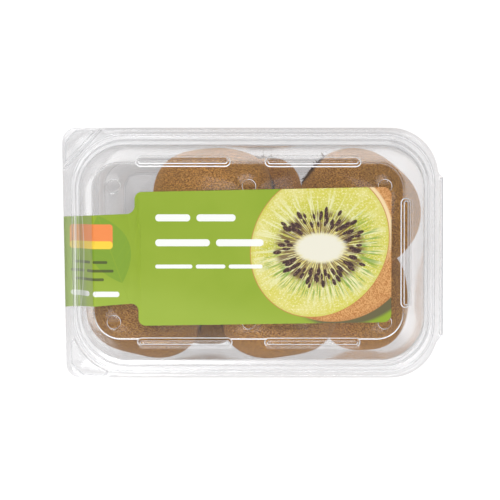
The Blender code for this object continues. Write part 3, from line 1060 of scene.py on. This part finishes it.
def label_edges(x):
    # Upper and lower edge of the label at a distance x along the pack.
    along = x + LABEL_LEFT_TURN
    tab_top = TAB_TOP[0] + TAB_TOP[1] * along
    tab_low = TAB_BOTTOM[0] + TAB_BOTTOM[1] * along
    top = tab_top + round_step(x - STEP_TOP, BLOCK_TOP[0] + BLOCK_TOP[1] * x - tab_top)
    low = tab_low - round_step(x - STEP_BOTTOM, tab_low - BLOCK_BOTTOM[0] - BLOCK_BOTTOM[1] * x)
    near = x - (LABEL_RIGHT - LABEL_CORNER)
    if near > 0.0:
        back = LABEL_CORNER - math.sqrt(max(LABEL_CORNER ** 2 - near ** 2, 0.0))
        top -= back
        low += back
    return top, low


def lifted(path, by):
    # The same line moved away from the plastic under it.
    made = []
    for i, (x, z) in enumerate(path):
        ahead = path[min(i + 1, len(path) - 1)]
        behind = path[max(i - 1, 0)]
        dx, dz = ahead[0] - behind[0], ahead[1] - behind[1]
        length = math.hypot(dx, dz)
        made.append((x + by * dz / length, z - by * dx / length))
    return made


def make_label(material, profile):
    path = []
    for step in range(13):
        path.append((LABEL_RIGHT - LABEL_CORNER * (1.0 - math.cos(math.radians(90.0 * step / 12))), LID_TOP))
    turns = []
    for start in (STEP_TOP, STEP_BOTTOM):
        first, second = STEP_RADII
        arcs = [math.radians(90.0 * step / 14) for step in range(15)]
        turns += [start + first * math.sin(angle) * 0.9995 for angle in arcs]
        turns += [start + first + second * (1.0 - math.sin(angle) * 0.9995) for angle in arcs]
    plain = [LABEL_RIGHT - LABEL_CORNER - 2.0 * step for step in range(1, 69)]
    for x in sorted(set(turns) | {x for x in plain if x > LABEL_FLAT_END}, reverse=True):
        path.append((x, LID_TOP))
    edge = [(outline_at(LID_STATIONS, out)[0], z) for out, z in profile]
    path += [(x, z) for x, z in edge if x < LABEL_FLAT_END - 0.1]
    path.append((FLANGE[0] + 0.1, LID_FLANGE))
    lower = lifted(path, LABEL_LIFT)
    rows = []
    for (x, _), (on_x, on_z) in zip(path, lower):
        top, low = label_edges(x)
        row = []
        for share in LABEL_ROWS:
            y = top + (low - top) * share
            row.append((tapered(on_x, y), y, on_z))
        rows.append(row)
    skin = Skin()
    skin.strip(rows)
    label = skin.piece("label_film", material, 1.0, LABEL_THICK)
    label.modifiers["film"].offset = 1.0
    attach(label, "lid")
    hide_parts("label")


# The fruit, in shares of their half lengths and widths, and their hairs, in mm
FRUIT_ROWS = 66
FRUIT_SIDES = 72
FUZZ_COUNT = 26000
TUFT_COUNT = 420
SEPAL_COUNT = 26
# Where the dark calyx end and the painted shade round it begin and are full, in shares of the half length
CALYX_AND_SHADE_SPAN = (0.925, 0.978)
FRUIT_TONES = (1.3, 1.17, 0.84, 1.04, 1.1, 1.15, 0.42)
FULL = (2.6, 2.5)
ROUND = (2.15, 2.1)
ROUND_FRUIT = ("kiwi_2",)
STEM_END = 0.985
BODY_SPAN = 1.951
HAIR_SPREAD = 0.8
HAIR_STAND = (0.35, 1.1)
HAIR_LENGTH = (0.5, 1.3)
HAIR_WIDTH = (0.02, 0.036)
HAIR_ROOT = 0.02
TUFT_RING = (0.08, 0.3)
TUFT_LENGTH = (0.9, 2.4)
TUFT_WIDTH = (0.08, 0.16)
SEPAL_LENGTH = 1.7
SEPAL_WIDTH = 6.0


def fruit_profile(bulge):
    # From stem end to calyx end, as shares of the half length and half width.
    profile = [(-0.968, 0.0), (-0.972, 0.03), (-0.981, 0.06), (-0.986, 0.09), (-0.9862, 0.13)]
    for step in range(FRUIT_ROWS):
        x = -STEM_END + BODY_SPAN * (1.0 - math.cos(math.pi * step / (FRUIT_ROWS - 1))) / 2
        profile.append((x, (1.0 - abs(x) ** bulge[0]) ** (1 / bulge[1])))
    profile += [(0.9705, 0.3), (0.973, 0.22), (0.974, 0.15)]
    return profile + [(0.98, 0.132), (0.99, 0.122), (0.997, 0.09), (1.0, 0.0)]


def fruit_frame(node):
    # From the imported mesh: middle, long axis towards the calyx, wide axis and half sizes.
    points = np.array([v.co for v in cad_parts[node].data.vertices], float)
    points = np.unique(np.round(points, 6), axis=0)
    middle = points.mean(axis=0)
    _, _, axes = np.linalg.svd(points - middle)
    reach = (points - middle) @ axes.T
    long = axes[0]
    tip = np.sort(reach[:, 0])
    low, high = tip[0], tip[-1]
    # The calyx end has a narrow raised tip, so its last rings lie further apart.
    if tip[-1] - tip[-22] < tip[21] - tip[0]:
        long = -long
        low, high = -high, -low
    half_length = (high - low) / (1.0 + STEM_END)
    centre = middle + long * (high - half_length)
    up = np.array((0.0, 0.0, 1.0))
    wide = np.cross(up, long)
    half_wide = np.abs((points - centre) @ wide).max()
    half_thick = np.abs((points - centre) @ up).max()
    return Vector(centre), Vector(long), Vector(wide), half_length, half_wide, half_thick


def fruit_points(half, noise, bulge):
    length, wide, thick = half
    rows = []
    for x, r in fruit_profile(bulge):
        angles = np.arange(FRUIT_SIDES) * (math.tau / FRUIT_SIDES)
        swell = 1.0 + 0.006 * np.sin(3 * angles + noise[0] + 2.2 * x)
        swell += 0.005 * np.sin(5 * angles + noise[1] - 3.1 * x)
        swell *= 1.0 + 0.006 * np.sin(7 * x + noise[2])
        ring = np.stack([np.full(FRUIT_SIDES, x * length), r * wide * swell * 0.99 * np.cos(angles),
                         r * thick * swell * 0.99 * np.sin(angles)], axis=1)
        rows.append(ring)
    return rows


def mesh_from(name, points, faces):
    data = bpy.data.meshes.new(name)
    data.from_pydata(points, [], faces)
    data.validate()
    return data


def make_fruit(node, seed):
    centre, long, wide, *half = fruit_frame(node)
    random = np.random.default_rng(seed)
    rows = fruit_points(half, random.uniform(0.0, math.tau, 3), ROUND if node in ROUND_FRUIT else FULL)
    inner = rows[1:-1]
    tips = (rows[0].mean(axis=0), rows[-1].mean(axis=0))
    points = [tuple(tips[0])] + [tuple(p) for row in inner for p in row] + [tuple(tips[1])]
    faces = []
    last = len(points) - 1
    for side in range(FRUIT_SIDES):
        after = (side + 1) % FRUIT_SIDES
        faces.append((0, 1 + side, 1 + after))
        for row in range(len(inner) - 1):
            a = 1 + row * FRUIT_SIDES
            b = a + FRUIT_SIDES
            faces.append((a + side, b + side, b + after, a + after))
        end = 1 + (len(inner) - 1) * FRUIT_SIDES
        faces.append((end + after, end + side, last))
    fruit = dressed(node + "_skin", mesh_from(node, points, [face[::-1] for face in faces]),
                    skin_paint(node + "_skin", seed, FRUIT_TONES[seed - 1], half[0]))
    turn = Matrix((long, wide, Vector((0.0, 0.0, 1.0)))).transposed()
    fruit.matrix_world = Matrix.Translation(centre) @ turn.to_4x4()

    hairs = grow_fuzz(node + "_fuzz", np.array(inner), half, random, fuzz_paint(node + "_fuzz", half[0]))
    hairs.parent = fruit
    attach(fruit, "tray")
    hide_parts(node)


def grow_fuzz(name, rows, half, random, material):
    # Short tapered hairs, lying mostly along the fruit, and longer ones round the calyx.
    a = rows[:-1]
    across = np.roll(a, -1, axis=1) - a
    along = rows[1:] - a
    area = np.linalg.norm(np.cross(across, along), axis=2)
    share = (area / area.sum()).ravel()
    pick = random.choice(share.size, FUZZ_COUNT, p=share)
    u, v = random.uniform(0, 1, (2, FUZZ_COUNT, 1))
    root = a.reshape(-1, 3)[pick] + across.reshape(-1, 3)[pick] * u + along.reshape(-1, 3)[pick] * v
    normal = unit(root / np.array(half) ** 2)
    lie = unit(np.array((1.0, 0.0, 0.0)) - normal * normal[:, :1])
    spread = random.normal(0.0, HAIR_SPREAD, (FUZZ_COUNT, 1))
    side = np.cross(normal, lie)
    lean = lie * np.cos(spread) + side * np.sin(spread)
    stand = random.uniform(*HAIR_STAND, (FUZZ_COUNT, 1))
    aim = unit(normal * stand + lean)
    length = random.uniform(*HAIR_LENGTH, (FUZZ_COUNT, 1)) * MM
    wide = np.cross(aim, normal) * random.uniform(*HAIR_WIDTH, (FUZZ_COUNT, 1)) * MM
    root -= normal * HAIR_ROOT * MM
    tuft = grow_tuft(half, random)
    root, wide, reach = (np.concatenate(pair) for pair in zip((root, wide, aim * length), tuft))
    points = np.stack([root - wide, root + wide, root + reach], axis=1).reshape(-1, 3)
    faces = np.arange(len(points)).reshape(-1, 3)
    return dressed(name, mesh_from(name, points.tolist(), faces.tolist()), material)


def grow_tuft(half, random):
    # Longer hairs in a ragged crown round the calyx.
    turn = random.uniform(0.0, math.tau, (TUFT_COUNT, 1))
    ring = random.uniform(*TUFT_RING, (TUFT_COUNT, 1))
    along = 0.972 - 0.1 * (ring - TUFT_RING[0])
    root = np.concatenate([along, ring * np.cos(turn), ring * np.sin(turn)], axis=1) * np.array(half)
    out = np.concatenate([np.full_like(turn, 0.55), np.cos(turn), np.sin(turn)], axis=1)
    aim = unit(out + random.normal(0.0, 0.45, (TUFT_COUNT, 3)))
    stout = np.arange(TUFT_COUNT)[:, None] < SEPAL_COUNT
    length = random.uniform(*TUFT_LENGTH, (TUFT_COUNT, 1)) * np.where(stout, SEPAL_LENGTH, 1.0) * MM
    side = unit(np.cross(aim, random.normal(0.0, 1.0, (TUFT_COUNT, 3))))
    wide = side * random.uniform(*TUFT_WIDTH, (TUFT_COUNT, 1)) * np.where(stout, SEPAL_WIDTH, 1.0) * MM
    return root, wide, aim * length


def unit(vectors):
    return vectors / np.maximum(np.linalg.norm(vectors, axis=1, keepdims=True), 1e-12)


# Lights: name, place, what it points at, its two sizes in metres and its power in watts
LIGHTS = (
    ("near_key", (-0.3, -0.8, 1.05), (0.0, 0.0, 0.05), (0.5, 0.5), 5.5),
    ("far_key", (-0.3, 0.72, 1.05), (0.0, 0.0, 0.05), (1.2, 0.9), 8.0),
    ("ceiling", (0.0, -0.72, 2.5), (0.0, -0.72, 0.0), (2.4, 0.9), 10.0),
    ("near_strip", (0.1, -0.9, 0.75), (0.0, 0.0, 0.07), (1.2, 0.12), 4.0),
)
SKY = (0.96, 0.98, 1.0, 1.0)
SKY_STRENGTH = 0.2
FLOOR_HALF = 4.0
FLOOR_DROP = 0.0002

# Plastics: tint, haze, painted highlight in the folds, painted shade tint in the folds
LID_LOOK = ((0.95, 0.95, 0.954, 1.0), 0.006, 0.4, (0.84, 0.84, 0.85, 1.0))
TRAY_LOOK = ((0.95, 0.948, 0.95, 1.0), 0.006, 0.12, (0.9, 0.9, 0.91, 1.0))


def area_light(name, place, target, size, power):
    data = bpy.data.lights.new(name, "AREA")
    data.shape = "RECTANGLE"
    data.size, data.size_y = size
    data.energy = power
    lamp = put(name, data)
    lamp.location = place
    lamp.rotation_euler = (Vector(target) - Vector(place)).to_track_quat("-Z", "Y").to_euler()


def make_stage():
    scene = bpy.context.scene
    data = bpy.data.cameras.new("camera")
    data.sensor_width = SENSOR
    data.lens = SENSOR * CAMERA_DISTANCE / VIEW_WIDTH
    camera = put("camera", data)
    away = Vector((0.0, math.sin(CAMERA_TILT), math.cos(CAMERA_TILT)))
    camera.location = LOOK_AT + away * CAMERA_DISTANCE
    camera.rotation_euler = (-CAMERA_TILT, 0.0, 0.0)
    scene.camera = camera

    corners = [(x * FLOOR_HALF, y * FLOOR_HALF, 0) for x, y in ((-1, -1), (1, -1), (1, 1), (-1, 1))]
    floor = mesh_from("floor", corners, [(0, 1, 2, 3)])
    floor.materials.append(floor_paint())
    ground = put("floor", floor)
    ground.location.z = -FLOOR_DROP

    world = bpy.data.worlds.new("studio")
    world.use_nodes = True
    sky = world.node_tree.nodes["Background"].inputs
    sky["Color"].default_value = SKY
    sky["Strength"].default_value = SKY_STRENGTH
    scene.world = world
    for light in LIGHTS:
        area_light(*light)
    scene.view_settings.view_transform = "Standard"
    scene.cycles.transparent_max_bounces = 32


def main():
    make_stage()
    lid_plastic = clear_plastic("lid_plastic", *LID_LOOK, lid_highlight_lines)
    tray_plastic = clear_plastic("tray_plastic", *TRAY_LOOK)
    profile = make_lid(lid_plastic)
    make_tray(tray_plastic)
    make_hinge_fold(lid_plastic)
    make_label(label_print(), profile)
    for seed, node in enumerate(sorted(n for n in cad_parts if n.startswith("kiwi_")), start=1):
        make_fruit(node, seed)


main()
